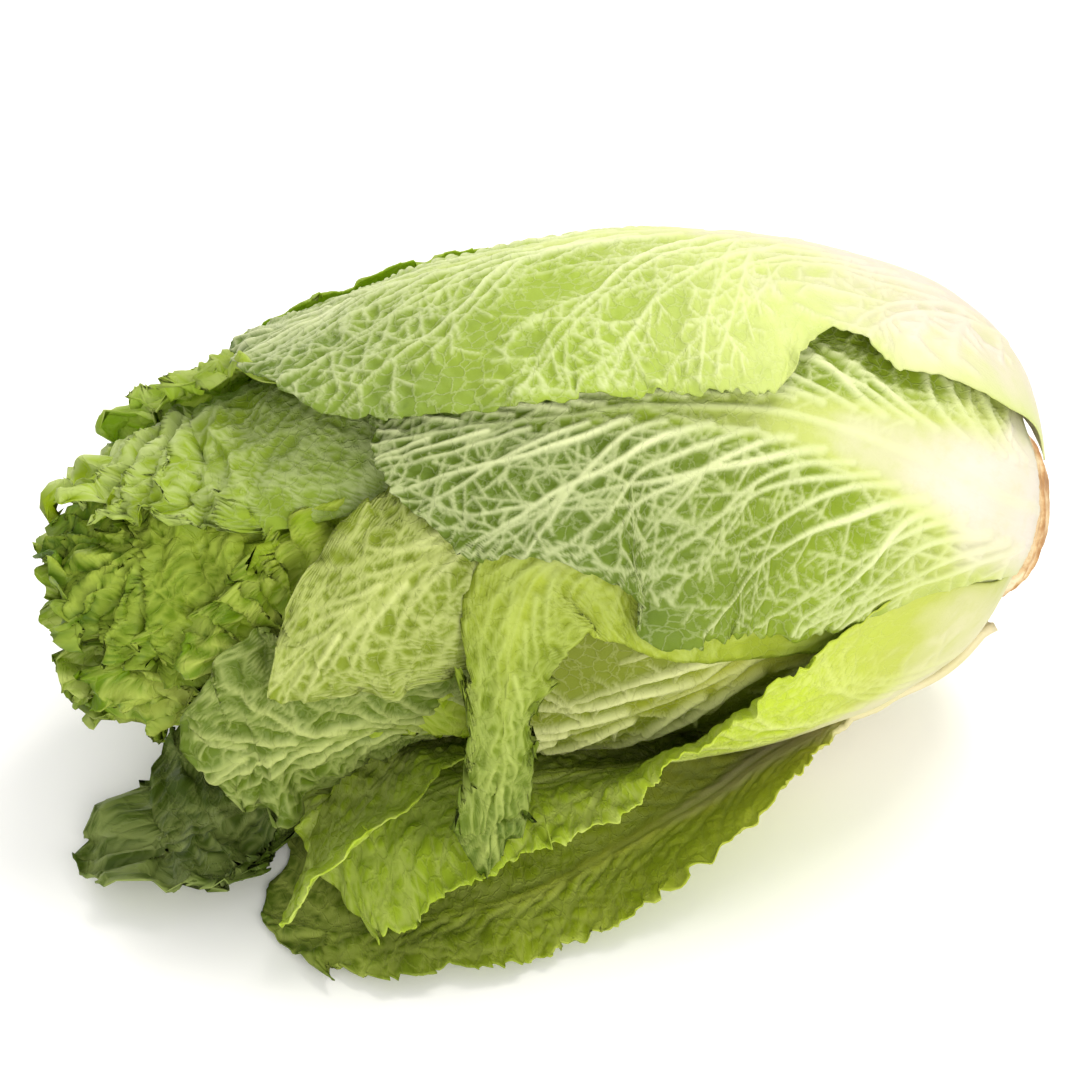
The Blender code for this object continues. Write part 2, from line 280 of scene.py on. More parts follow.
profile = np.array(STEM_PROFILE, float)
reach = np.concatenate([[0], np.cumsum(np.hypot(*np.diff(profile, axis=0).T))])
stations = np.concatenate(
    [
        np.linspace(0, BUTT_REACH, BUTT_ROWS),
        np.linspace(BUTT_REACH + 1, reach[-1], CONE_ROWS),
    ]
)
along = np.interp(stations, reach, profile[:, 0])[:, None]
radius = np.interp(stations, reach, profile[:, 1])[:, None]
turn = (np.arange(STEM_COLUMNS) * 2 * math.pi / STEM_COLUMNS)[None, :]
round_x, round_y = np.cos(turn), np.sin(turn)
scar_depth = np.zeros((len(stations), STEM_COLUMNS))
draw = random.Random(5)
for number in range(SCAR_COUNT):
    middle = math.radians(SPIRAL_ANGLE) * number
    width = draw.uniform(*SCAR_HALF_WIDTH)
    height = FIRST_SCAR + SCAR_SPREAD * number / SCAR_COUNT
    away = (turn - middle + math.pi) % (2 * math.pi) - math.pi
    rim = height + SCAR_BEND * (away / width) ** 2
    lip = np.exp(-(((along - rim) / LIP_WIDTH) ** 2))
    lip = lip - GROOVE_DEPTH * np.exp(-(((along - rim - GROOVE_AFTER) / GROOVE_WIDTH) ** 2))
    scar_depth += lip * np.exp(-((away / width) ** 4)) * (radius > BARK_RADIUS)
ragged = rough_noise(radius * round_x / 7 + along / 7, radius * round_y / 7, 3)
rings = 0.35 * np.sin(radius * 1.1 + 2 * ragged) * (along < CUT_FACE)
radius = radius + np.where(radius > BARK_RADIUS, 0.9 * scar_depth + 0.6 * ragged, 0)
along = along + np.where(along < CUT_FACE, 0.55 * rings + 0.5 * ragged + 0.5, 0)
places = on_the_stem(along, radius, turn).reshape(-1, 3)
rows, columns = len(stations), STEM_COLUMNS
index = np.arange(rows * columns).reshape(rows, columns)
beside = np.roll(index, -1, axis=1)
faces = np.stack([index[:-1], index[1:], beside[1:], beside[:-1]], -1).reshape(-1, 4)
dry = 0.10 * scar_depth + 0.12 * (along < -2) - 0.1 * (along > 3) + 0 * turn
stem = lay_mesh("cut_stem", places, faces, {"scar": dry.ravel()})
stem.data.materials.append(dried_flesh)
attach(stem, "root")
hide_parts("stem")

# --- The outer leaf at the front -------------------------------------------------------
# The leaf that faces the front: a broad crisp white rib that fans out into a net of pale
# veins, and a thin puckered green blade between them. It grows from the stem's side and
# wraps the head, and its lower margin is torn and frilled.

RIB_HALF_WIDTH = ((0, 22), (60, 17), (110, 9), (170, 4), (250, 2.5), (340, 2))
TABLE_LAYER = 1.01
TABLE_GAP = 4.5  # mm, the bottom of the table layer, flattened by the head's weight
FLAT_SPACING = 85.0  # mm between the bottoms of the layers 0 and 1
FLAT_SOFTNESS = 3.0
LIFT_POWER = 1.4
ROUNDING_POWER = 2.2
BLADE_HALF = 0.28  # mm, half the blade's thickness
RIB_RISE, RIB_DEPTH = 1.15, 1.6  # mm, how far the rib's faces stand off the blade's
FLOOR_REST = 1.6  # mm: where a leaf lies lower than this it is pressed on the table
FLOOR_SOFTNESS = 1.2
FLOOR_SINK = 0.8
LOBE_LENGTH, TOOTH_LENGTH, NICK_LENGTH = 13, 6.1, 1.9  # mm along the margin
WAVE_LENGTH, FOLD_LENGTH, CRIMP_LENGTH = 26, 6.2, 2.9  # mm along the margin
BUBBLE_SIZE = 12  # mm, the puckers of the blade
DENT_HEIGHT, DENT_LENGTH, DENT_WIDTH = 1.3, 48, 40  # mm, broad dents in the whole leaf
FIBRE_HEIGHT, FIBRE_WIDTH, FIBRE_LENGTH = 0.28, 2.6, 70  # mm, the strings along the rib
PATCH_LENGTH, PATCH_WIDTH = 16, 9  # mm, the patches in which white gives way to green
COARSE_SPACING = 3.2  # rows of the hidden part of a leaf are this much further apart
UNSEEN_SHARE = 0.42  # columns where a leaf is never looked at, over where it is
WIDTH_MARKS = 400

VEIN_CELL = 0.5  # mm, the fineness of the chart that veins are drawn on
CHART_LEAD, CHART_EDGE = 8, 6  # cells before the base, mm beside the widest place
VEIN_STEP = 0.7  # mm
WIDE_VEIN = 2.4  # mm, how far a vein holds the blade up on each side of it
FIRST_VEIN = (14, 22)  # mm from the base
VEIN_ANGLE, VEIN_CLOSING, CLOSED_AT = 68, 38, 0.45  # degrees at the base, less further up
ANY_REACH = 400.0  # mm: a side vein runs on until it meets the margin
THINNEST_VEIN = 0.32  # mm, half
FORK_SHARE = 0.15  # of the branches are as long and nearly as thick as their parent


def layer_radius(layer, along):
    """The radius of a layer, whose leaves start where its foot meets the stem's cone."""
    foot = CORE_LENGTH * (1 - layer)
    return layer * smooth_curve(HEAD_PROFILE, (along - foot) * HEAD_LENGTH / (HEAD_LENGTH - foot))


def in_the_room(layer, along, angle, radius):
    """Places from the head's own origin, with the underside flattened by its weight."""
    turn = np.radians(angle)
    height = smooth_curve(AXIS_HEIGHT, along)
    slope = (smooth_curve(AXIS_HEIGHT, along + 2) - smooth_curve(AXIS_HEIGHT, along - 2)) / 4
    tilt = np.sqrt(1 + slope * slope)
    x = HEAD_LENGTH / 2 - along + radius * np.sin(turn) * slope / tilt
    y = -radius * np.cos(turn)
    z = height + radius * np.sin(turn) / tilt
    floor = TABLE_GAP + (TABLE_LAYER - layer) * FLAT_SPACING
    z = floor + FLAT_SOFTNESS * np.logaddexp(0, (z - floor) / FLAT_SOFTNESS)
    return np.stack([x, y, z], -1)


def grow_veins(length, half_width, rib_half, seed, orders, gaps, vein_half):
    """Every vein of a leaf, as rows of along, across, half thickness."""
    draw = random.Random(seed)
    growing = []
    for side in (-1, 1):
        start = FIRST_VEIN[0] + draw.uniform(0, FIRST_VEIN[1] - FIRST_VEIN[0])
        while start < length * 0.97:
            share = start / length
            opening = VEIN_ANGLE - VEIN_CLOSING * min(share / CLOSED_AT, 1)
            goal = side * math.radians(opening + draw.uniform(-4, 4))
            thick = vein_half * (1 - 0.5 * share) * draw.uniform(0.75, 1.2)
            root = side * rib_half(start) * 0.7
            growing.append((start, root, 0.4 * goal, thick, ANY_REACH, 1, goal))
            start += (gaps[0] + (gaps[1] - gaps[0]) * share) * draw.uniform(0.75, 1.25)
    veins = []
    at = 0.0
    while at < length:
        veins.append((at, 1.2 * math.sin(at / 41 + seed), max(0.5, 2.2 * (1 - at / length))))
        at += VEIN_STEP
    while growing:
        along, across, heading, thick, reach, order, goal = growing.pop()
        side = 1 if heading > 0 else -1
        wander, gone, next_branch = 0.0, 0.0, draw.uniform(4, 9)
        branch_side = draw.choice((-1, 1))
        full = max(reach if order > 1 else 1.15 * half_width(along, side), 5.0)
        while gone < reach:
            edge = half_width(along, 1 if across > 0 else -1)
            if abs(across) > edge * 0.985 or along > length * 0.99 or along < 3:
                break
            share = min(gone / full, 1.0)
            half = max(thick * (1 - 0.7 * share), THINNEST_VEIN)
            veins.append((along, across, half))
            if order == 1:
                heading += (goal - heading) * 0.02
            wander = 0.9 * wander + draw.uniform(-0.009, 0.009)
            heading += wander
            along += VEIN_STEP * math.cos(heading)
            across += VEIN_STEP * math.sin(heading)
            gone += VEIN_STEP
            if gone > next_branch and order < orders:
                branch_side = -branch_side
                opening = draw.uniform(0.6, 1.15)
                forked = draw.random() <= FORK_SHARE
                child = 0.8 if forked else draw.uniform(0.42, 0.6)
                new_reach = draw.uniform(8, 20) if order == 1 else draw.uniform(4, 9)
                if forked and order == 1:
                    new_reach, opening = draw.uniform(25, 60), 0.5
                turned = heading + branch_side * opening
                thinner = half * child
                growing.append((along, across, turned, thinner, new_reach, order + 1, turned))
                next_branch = gone + draw.uniform(5.5, 12) * (1.0 if order == 1 else 0.6)
    return np.array(veins)


def draw_veins(veins, length, widest):
    """Charts of the veins' ridges and of how well they hold the blade up, 0 to 1."""
    rows = int((length + 12) / VEIN_CELL)
    shape = (rows, int(2 * (widest + CHART_EDGE) / VEIN_CELL))
    ridge = np.zeros(shape)
    held = np.zeros(shape)
    column = veins[:, 0] / VEIN_CELL + CHART_LEAD
    row = (veins[:, 1] + widest + CHART_EDGE) / VEIN_CELL
    window = int(1.9 * WIDE_VEIN / VEIN_CELL)
    for i in range(-window, window + 1):
        for j in range(-window, window + 1):
            if i * i + j * j > window * window:
                continue
            ci, cj = np.rint(column).astype(int) + i, np.rint(row).astype(int) + j
            good = (ci >= 0) & (ci < shape[0]) & (cj >= 0) & (cj < shape[1])
            away = np.hypot(ci - column, cj - row)[good] * VEIN_CELL
            half = veins[good, 2]
            strength = np.minimum(1, 0.3 + 0.6 * half) * np.exp(-((away / (half + 0.2)) ** 4))
            np.maximum.at(ridge, (ci[good], cj[good]), strength)
            carry = np.minimum(1, 0.45 + half) * np.exp(-((away / (WIDE_VEIN * 0.75)) ** 2))
            np.maximum.at(held, (ci[good], cj[good]), carry)
    return ridge, held


def read_chart(chart, along, across, widest):
    """Values of a chart between its cells."""
    column = np.clip(along / VEIN_CELL + CHART_LEAD, 0, chart.shape[0] - 1.001)
    row = np.clip((across + widest + CHART_EDGE) / VEIN_CELL, 0, chart.shape[1] - 1.001)
    i, j = column.astype(int), row.astype(int)
    x, y = column - i, row - j
    near = chart[i, j] * (1 - x) + chart[i + 1, j] * x
    far = chart[i, j + 1] * (1 - x) + chart[i + 1, j + 1] * x
    return near * (1 - y) + far * y


def wave(place, seed):
    """A wave of about one unit whose height and length keep changing."""
    swing = soft_noise(place * 0.43, seed * 1.7, seed)
    height = 0.75 + 0.45 * soft_noise(place * 0.31, 9.1, seed + 5)
    return np.sin(2 * math.pi * place + 2.6 * swing) * height


def grow_leaf(
    name,
    layer,
    rounding,
    rows,
    seed,
    spacing=1.2,
    fine_from=0.0,
    ruffle=(2.5, 1.4, 0.7),
    band=22.0,
    lobes=1.6,
    teeth=0.7,
    pucker=0.9,
    sag=0.9,
    ridge_height=0.8,
    curl=0.0,
    vein_orders=3,
    gaps=(8.5, 14.0),
    vein_half=1.5,
    green=(0.05, 0.75),
    white_to=(20.0, 60.0),
    looked_at=(-1.0, 1.0),
    free_from=0.0,
    crumple=0.0,
):
    """A leaf as one closed body, with its veins, puckers and frilled margin.

    Lengths are in mm. A row of rows is a place from base to tip: the distance along the
    head, the angle of the midrib, the half widths towards lower and higher angles, and how
    far midrib, lower margin and higher margin stand off the layer. The three heights of
    ruffle are its broad waves, its folds and its crimps, band is how far they reach in
    from the margin, and crumple is the share of them that the whole blade has. The mesh is
    fine only from the share fine_from of the length, and frilled only from free_from.
    """
    rows = np.array(rows, float)
    middle_radius = layer_radius(layer, rows[:, 0])
    steps = np.hypot(np.diff(rows[:, 0]), np.radians(np.diff(rows[:, 1])) * middle_radius[1:])
    rise = np.diff(middle_radius + rows[:, 4])
    length = float(np.hypot(steps, rise).sum())
    marks = np.concatenate([[0], np.cumsum(steps)]) / steps.sum()
    curves = [list(zip(marks, rows[:, column])) for column in range(7)]
    widest = rows[:, 2:4].max() * 1.05

    def half_width(at, side):
        return np.interp(at / length, marks, rows[:, 3 if side > 0 else 2])

    def rib_half(at):
        return float(np.interp(at, *zip(*RIB_HALF_WIDTH)))

    fine = int(length * (1 - fine_from) / spacing)
    coarse = int(length * fine_from / (COARSE_SPACING * spacing)) + 2
    up = np.linspace(fine_from, 1, fine)
    if fine_from > 0:
        up = np.concatenate([np.linspace(0, fine_from, coarse)[:-1], up])
    mean_width = (rows[:, 2] + rows[:, 3])[1:-1].mean()
    marks_across = np.linspace(-1, 1, WIDTH_MARKS)
    looked = (marks_across >= looked_at[0]) & (marks_across <= looked_at[1])
    dense = np.cumsum(np.where(looked, 1.0, UNSEEN_SHARE))
    count = int(mean_width / spacing * dense[-1] / WIDTH_MARKS)
    across = np.interp(np.linspace(dense[0], dense[-1], count), dense, marks_across)
    up, across = np.meshgrid(up, across, indexing="ij")

    def place_on(up, across):
        t = up * (1 - rounding * np.abs(across) ** ROUNDING_POWER)
        placed = (smooth_curve(curve, t) for curve in curves)
        along, angle, low, high, lift, lift_low, lift_high = placed
        radius = layer_radius(layer, along)
        nudge = 0.01
        near = np.minimum(t, 1)  # lobes grow past the last row, where the curves end
        run = smooth_curve(curves[0], near + nudge) - smooth_curve(curves[0], near - nudge)
        turn = smooth_curve(curves[1], near + nudge) - smooth_curve(curves[1], near - nudge)
        turn = np.radians(turn) * radius
        size = np.hypot(run, turn)
        half = np.where(across > 0, high, low)
        offset = across * half
        along = along - offset * turn / size
        angle = angle + np.degrees(offset * run / size / radius)
        edge_lift = np.where(across > 0, lift_high, lift_low)
        lift = lift + (edge_lift - lift) * np.abs(across) ** LIFT_POWER
        radius = layer_radius(layer, along) + lift
        return along, angle, radius, t * length, offset, half

    # Where each point is on the flat leaf, how far from the margin, and along the margin.
    _, _, _, flat_along, flat_across, half = place_on(up, across)
    tip_radius = max(half[-1].mean(), 20.0)
    past = flat_along - (length - tip_radius)
    run = np.where(
        past < 0,
        np.sign(flat_across) * (-past + tip_radius * math.pi / 2),
        tip_radius * np.arctan2(flat_across, np.maximum(past, 1e-6)),
    )
    side_gap = half * (1 - np.abs(across))
    tip_gap = length * (1 - up)
    gap = side_gap * tip_gap / np.hypot(side_gap, tip_gap + 1e-6)
    edge = np.clip(1 - gap / band, 0, 1)
    run = run + 5 * soft_noise(flat_along / 24, flat_across / 24, seed + 12)
    outline = lobes * soft_noise(run / LOBE_LENGTH, 0.5, seed + 3)
    outline = outline + teeth * wave(run / TOOTH_LENGTH, seed + 4)
    outline = outline + 0.6 * teeth * soft_noise(run / NICK_LENGTH, 2.5, seed + 6)
    grown = np.clip((flat_along - 25) / 60, 0, 1)
    if free_from:
        grown = np.clip((flat_along / length - free_from) / 0.12, 0, 1)
    outline = outline * grown
    new_across = across * (1 + outline / half * np.abs(across) ** 6)
    new_up = up * (1 + outline / length * up**30)
    along, angle, radius, flat_along, flat_across, half = place_on(new_up, new_across)
    places = in_the_room(layer, along, angle, radius)
    down_leaf = np.gradient(places, axis=0)
    cross_leaf = np.gradient(places, axis=1)
    outward = np.cross(cross_leaf, down_leaf)
    outward /= np.linalg.norm(outward, axis=-1, keepdims=True) + 1e-9
    axis = np.stack([places[..., 0], 0 * along, smooth_curve(AXIS_HEIGHT, along)], -1)
    flipped = (outward * (places - axis)).sum() < 0
    if flipped:
        outward = -outward

    # Ribs, veins and the blade that puckers between them.
    rib_width = np.array([rib_half(at) for at in flat_along[:, 0]])[:, None]
    rib = np.exp(-((flat_across / rib_width) ** 4))
    fade = np.clip(1.12 - flat_along / (0.8 * length), 0.06, 1)
    veins = grow_veins(length, half_width, rib_half, seed, vein_orders, gaps, vein_half)
    ridge_chart, held_chart = draw_veins(veins, length, widest)
    ridge = read_chart(ridge_chart, flat_along, flat_across, widest)
    held = read_chart(held_chart, flat_along, flat_across, widest)
    blade = 1 - rib * np.clip(1.3 - flat_along / (0.75 * length), 0, 1)
    tipward = np.clip(0.35 + 0.9 * flat_along / length, 0, 1.2)
    height = ridge_height * ridge * (0.35 + 0.65 * blade)
    height = height - sag * (1 - held) * blade * tipward
    bubbles = rough_noise(flat_along / BUBBLE_SIZE, flat_across / BUBBLE_SIZE, seed)
    height = height + pucker * bubbles * blade * tipward * (0.35 + 0.65 * grown)
    dents = soft_noise(flat_along / DENT_LENGTH, flat_across / DENT_WIDTH, seed + 8)
    height = height + DENT_HEIGHT * dents * (0.3 + 0.7 * blade)
    fibres = rough_noise(flat_across / FIBRE_WIDTH, flat_along / FIBRE_LENGTH, seed + 9, 2)
    height = height + FIBRE_HEIGHT * fibres * rib * fade
    ruffled = (crumple + (1 - crumple) * edge**1.5) * grown
    first, second, third = ruffle
    broad = 0.45 * wave(run / WAVE_LENGTH, seed + 1)
    broad = broad + 0.8 * soft_noise(run / 12, gap / WAVE_LENGTH, seed + 1)
    frill = first * broad + second * soft_noise(run / FOLD_LENGTH, gap / 9, seed + 2)
    frill = frill + third * soft_noise(run / CRIMP_LENGTH, gap / 4.2, seed + 7)
    height = height + frill * ruffled + curl * edge**2 * grown
    down_leaf /= np.linalg.norm(down_leaf, axis=-1, keepdims=True) + 1e-9
    cross_leaf /= np.linalg.norm(cross_leaf, axis=-1, keepdims=True) + 1e-9
    swing = 0.9 * second * ruffled
    sideways = swing * soft_noise(run / 6.5, gap / 9 + 7, seed + 14)
    lengthways = swing * soft_noise(run / 6.5, gap / 9 + 3, seed + 15)
    middle = places + outward * height[..., None]
    middle = middle + cross_leaf * sideways[..., None] + down_leaf * lengthways[..., None]
    low = np.minimum(places[..., 2], FLOOR_REST)
    above = (middle[..., 2] - low) / FLOOR_SOFTNESS
    middle[..., 2] = low + FLOOR_SOFTNESS * np.logaddexp(0, above) - FLOOR_SINK
    rib_lift = rib * fade
    outer_skin = middle + outward * (BLADE_HALF + RIB_RISE * rib_lift)[..., None]
    inner_skin = middle - outward * (BLADE_HALF + RIB_DEPTH * rib_lift)[..., None]

    # One closed body: outer skin, inner skin and the thin rim between them.
    index = np.arange(up.size).reshape(up.shape)
    outer = np.stack([index[:-1, :-1], index[1:, :-1], index[1:, 1:], index[:-1, 1:]], -1)
    outer = outer.reshape(-1, 4)
    inner = outer[:, ::-1] + up.size
    border = np.concatenate(
        [index[0, :-1], index[:-1, -1], index[-1, :0:-1], index[:0:-1, 0]]
    )
    after = np.roll(border, -1)
    rim = np.stack([border, after, after + up.size, border + up.size], -1)
    faces = np.concatenate([outer, inner, rim])
    if not flipped:
        faces = faces[:, ::-1]
    whiteness = rib * np.clip(1.25 - flat_along / (0.72 * length), 0, 1)
    patches = soft_noise(flat_along / PATCH_LENGTH, flat_across / PATCH_WIDTH, seed + 13)
    patchy = flat_along + 9 * patches
    based = np.clip((white_to[1] - patchy) / (white_to[1] - white_to[0]), 0, 1)
    based = based * based * (3 - 2 * based) * (1 - 0.45 * edge**3)
    whiteness = 1 - (1 - whiteness) * (1 - based)
    start, end = green
    tone = np.clip((flat_along / length - start) / (end - start), 0, 1)
    tone = (0.3 + 0.7 * tone) * (1 - whiteness)
    tone = tone + 0.05 * soft_noise(flat_along / 20, flat_across / 20, seed + 11)
    tone = np.clip(tone + 0.08 * (1 - held) * blade, 0, 1)
    both = {
        "tone": np.tile(tone.ravel(), 2),
        "vein": np.tile((ridge * (1 - 0.8 * whiteness)).ravel(), 2),
    }
    flat = np.stack([flat_along, flat_across + widest], -1).reshape(-1, 2)
    places = np.concatenate([outer_skin.reshape(-1, 3), inner_skin.reshape(-1, 3)])
    return lay_mesh(name, places, faces, both, np.tile(flat, (2, 1)))


# The skin's fine pattern is real: threads between veins about 4.6 mm apart, a mottle of
# about 9 mm and a grain of about 0.9 mm.
MOTTLE_WIDTH = 9.0  # mm
THREAD_SPACING = 4.6  # mm
GRAIN_WIDTH = 0.9  # mm


def leaf_skin(name, rib, pale, blade, deep, vein, glow=0.22):
    """Living leaf skin: waxy, thin enough to glow a little when the light is behind it.

    The colours run from the white rib to the deepest green, and the wax spreads the
    light, so that the eye reads something crisp and wet inside but dry to the touch.
    """
    made, tree = new_material(name)
    chart = add_node(tree, "ShaderNodeUVMap", {"uv_map": "leaf_mm"}).outputs["UV"]
    tone = add_node(tree, "ShaderNodeAttribute", {"attribute_name": "tone"}).outputs["Fac"]
    veined = add_node(tree, "ShaderNodeAttribute", {"attribute_name": "vein"}).outputs["Fac"]
    mottle = add_node(
        tree,
        "ShaderNodeTexNoise",
        links={
            "Vector": chart,
            "Scale": CHART_SIZE / MOTTLE_WIDTH,
            "Detail": 5.0,
            "Roughness": 0.6,
        },
    )
    shifted = add_node(
        tree,
        "ShaderNodeMath",
        {"operation": "MULTIPLY_ADD", "use_clamp": True},
        {0: mottle.outputs["Fac"], 1: 0.22, 2: -0.11},
    )
    varied = add_node(
        tree,
        "ShaderNodeMath",
        {"operation": "ADD", "use_clamp": True},
        {0: tone, 1: shifted.outputs[0]},
    )
    body = ramp(tree, varied.outputs[0], (0.0, rib), (0.26, pale), (0.62, blade), (1.0, deep))
    bent = add_node(
        tree,
        "ShaderNodeMix",
        {"data_type": "VECTOR"},
        {"Factor": 0.02},
    )
    tree.links.new(chart, bent.inputs[4])
    tree.links.new(mottle.outputs["Color"], bent.inputs[5])
    net = add_node(
        tree,
        "ShaderNodeTexVoronoi",
        {"feature": "DISTANCE_TO_EDGE"},
        {"Vector": bent.outputs[1], "Scale": CHART_SIZE / THREAD_SPACING},
    )
    thread = add_node(
        tree,
        "ShaderNodeMapRange",
        links={0: net.outputs["Distance"], 1: 0.015, 2: 0.09, 3: 1.0, 4: 0.0},
    )
    leafy = add_node(
        tree, "ShaderNodeMapRange", links={0: tone, 1: 0.12, 2: 0.45, 3: 0.0, 4: 0.17}
    )
    threads = add_node(
        tree,
        "ShaderNodeMath",
        {"operation": "MULTIPLY"},
        {0: thread.outputs[0], 1: leafy.outputs[0]},
    )
    pale_lines = add_node(
        tree,
        "ShaderNodeMath",
        {"operation": "MAXIMUM", "use_clamp": True},
        {0: threads.outputs[0], 1: veined},
    )
    strength = add_node(
        tree,
        "ShaderNodeMath",
        {"operation": "MULTIPLY", "use_clamp": True},
        {0: pale_lines.outputs[0], 1: 0.95},
    )
    painted = add_node(tree, "ShaderNodeMix", {"data_type": "RGBA"}, {0: strength.outputs[0]})
    tree.links.new(body, painted.inputs[6])
    painted.inputs[7].default_value = colour(vein)
    grain = add_node(
        tree,
        "ShaderNodeTexNoise",
        links={"Vector": chart, "Scale": CHART_SIZE / GRAIN_WIDTH, "Detail": 2.0},
    )
    relief = add_node(
        tree,
        "ShaderNodeMath",
        {"operation": "MULTIPLY_ADD"},
        {0: grain.outputs["Fac"], 1: 0.16, 2: threads.outputs[0]},
    )
    bumped = add_node(
        tree,
        "ShaderNodeBump",
        links={"Strength": 0.8, "Distance": 0.0011, "Height": relief.outputs[0]},
    )
    sheen = add_node(
        tree,
        "ShaderNodeMapRange",
        links={0: mottle.outputs["Fac"], 1: 0.3, 2: 0.7, 3: 0.42, 4: 0.58},
    )
    wax = add_node(
        tree,
        "ShaderNodeBsdfPrincipled",
        links={
            "Base Color": painted.outputs[2],
            "Roughness": sheen.outputs[0],
            "Specular IOR Level": 0.22,
            "Normal": bumped.outputs[0],
        },
    )
    through = add_node(
        tree,
        "ShaderNodeBsdfTranslucent",
        links={"Color": painted.outputs[2], "Normal": bumped.outputs[0]},
    )
    both = add_node(
        tree, "ShaderNodeMixShader", links={0: glow, 1: wax.outputs[0], 2: through.outputs[0]}
    )
    add_node(tree, "ShaderNodeOutputMaterial", links={"Surface": both.outputs[0]})
    return made


def fit_leaf(leaf, node, skin):
    """Dresses a leaf and puts it in the place of its plain solid."""
    leaf.data.materials.append(skin)
    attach(leaf, "root")
    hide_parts(node)


front_skin = leaf_skin("front_leaf_skin", "#e2dacb", "#c0ca70", "#8ba128", "#62791f", "#e4eab4")
FRONT_ROWS = (
    (2.6, 38, 26, 30, 0, 0, 0),
    (30, 38, 29, 42, 0, 0, 0),
    (48, 42, 42, 40, 0, 1, 0),
    (72, 48, 64, 56, 0, 1, 0),
    (108, 55, 72, 68, 0, 1, 0),
    (135, 57, 76, 72, 0, 1, 0),
    (148, 58, 66, 74, 0, 2, 0),
    (162, 58, 50, 74, 0, 3, 0),
    (192, 60, 42, 66, 0, 3, 0),
    (220, 62, 34, 44, 0, 3, 0),
)
front_leaf = grow_leaf(
    "front_leaf",
    0.965,
    0.12,
    FRONT_ROWS,
    11,
    spacing=0.76,
    looked_at=(-1.0, 0.35),
    pucker=0.9,
    sag=1.5,
    ridge_height=1.3,
    vein_half=1.75,
    gaps=(8.0, 16.0),
    white_to=(15.0, 74.0),
)
fit_leaf(front_leaf, "outer_leaf_front", front_skin)

# --- The outer leaf over the top -------------------------------------------------------
# The last leaf to be laid round the head, its midrib along the top. Its blade hangs over
# the front leaf, and the side of its rib near the stem is ragged where it was handled.

top_skin = leaf_skin("top_leaf_skin", "#e2d9ca", "#cdd884", "#a0b740", "#5b7428", "#eaefc2")
TOP_ROWS = (
    (0, 105, 30, 24, 0, -1, 0),
    (20, 107, 50, 34, 0, -1, 0),
    (40, 108, 60, 44, 0, 0, 0),
    (60, 110, 66, 54, 0, 1, 0),
    (78, 111, 62, 60, 0, 3, 0),
    (96, 112, 84, 68, 0, 3, 0),
    (135, 112, 90, 78, 0, 3, 0),
    (168, 110, 84, 80, 0, 3, 0),
    (195, 108, 76, 76, 0, 3, 0),
    (216, 107, 66, 66, 0, 3, 0),
    (240, 107, 50, 50, 0, 4, 0),
    (256, 108, 34, 30, 0, 5, 0),
)
top_leaf = grow_leaf(
    "top_leaf",
    1.02,
    0.10,
    TOP_ROWS,
    23,
    spacing=0.82,
    looked_at=(-1.0, 0.15),
    pucker=0.9,
    sag=1.5,
    ridge_height=1.3,
    vein_half=1.6,
    gaps=(12.0, 19.0),
    white_to=(40.0, 150.0),
    green=(0.4, 1.05),
)
fit_leaf(top_leaf, "outer_leaf_top", top_skin)

# --- The outer leaves at the back ------------------------------------------------------
# Two leaves that close the far side. The upper one is the outermost of all, and its
# frilled margin stands a little proud of the head's top line.

PLAIN_HALF_WIDTH = ((0, 27), (40, 36), (90, 58), (140, 86), (190, 104), (340, 104))
PLAIN_SPREAD = 1.15  # the widest half width of a leaf, over its layer's radius
PLAIN_INNER_WIDTH = 0.45  # the width of the innermost plain leaves, over the outermost's
PLAIN_ROWS = 9
PLAIN_ROUNDING = 0.22


def plain_rows(layer, angle, length):
    """Rows of a leaf that wraps straight along the head."""
    foot = CORE_LENGTH * (1 - layer)
    rows = []
    for along in np.linspace(max(foot, 0) + 0.3, length, PLAIN_ROWS):
        share = PLAIN_INNER_WIDTH + (1 - PLAIN_INNER_WIDTH) * layer
        grown = smooth_curve(PLAIN_HALF_WIDTH, along - foot) * share
        half = min(grown, PLAIN_SPREAD * layer_radius(layer, along))
        rows.append((along, angle, half, half, 0, 0, 0))
    return rows


back_skin = leaf_skin(
    "back_leaf_skin", "#eceac6", "#d8e27c", "#c4d650", "#aac63a", "#e2e9a4", glow=0.5
)
back_leaf = grow_leaf(
    "back_leaf",
    1.06,
    PLAIN_ROUNDING,
    plain_rows(1.06, 195, 298),
    31,
    spacing=1.25,
    pucker=0.8,
)
fit_leaf(back_leaf, "outer_leaf_back", back_skin)
# Painted shade: the low skin's dark greens stand for the shade under the head, on the leaves that
# lie beneath it.
low_skin_painted_shade = leaf_skin("low_leaf_skin_painted_shade", "#eef0cf", "#bcc760", "#82942c", "#4f641a", "#b2c070")
lower_back_leaf = grow_leaf(
    "lower_back_leaf", 1.01, PLAIN_ROUNDING, plain_rows(1.01, 228, 262), 37, spacing=1.35
)
fit_leaf(lower_back_leaf, "lower_leaf_back", low_skin_painted_shade)
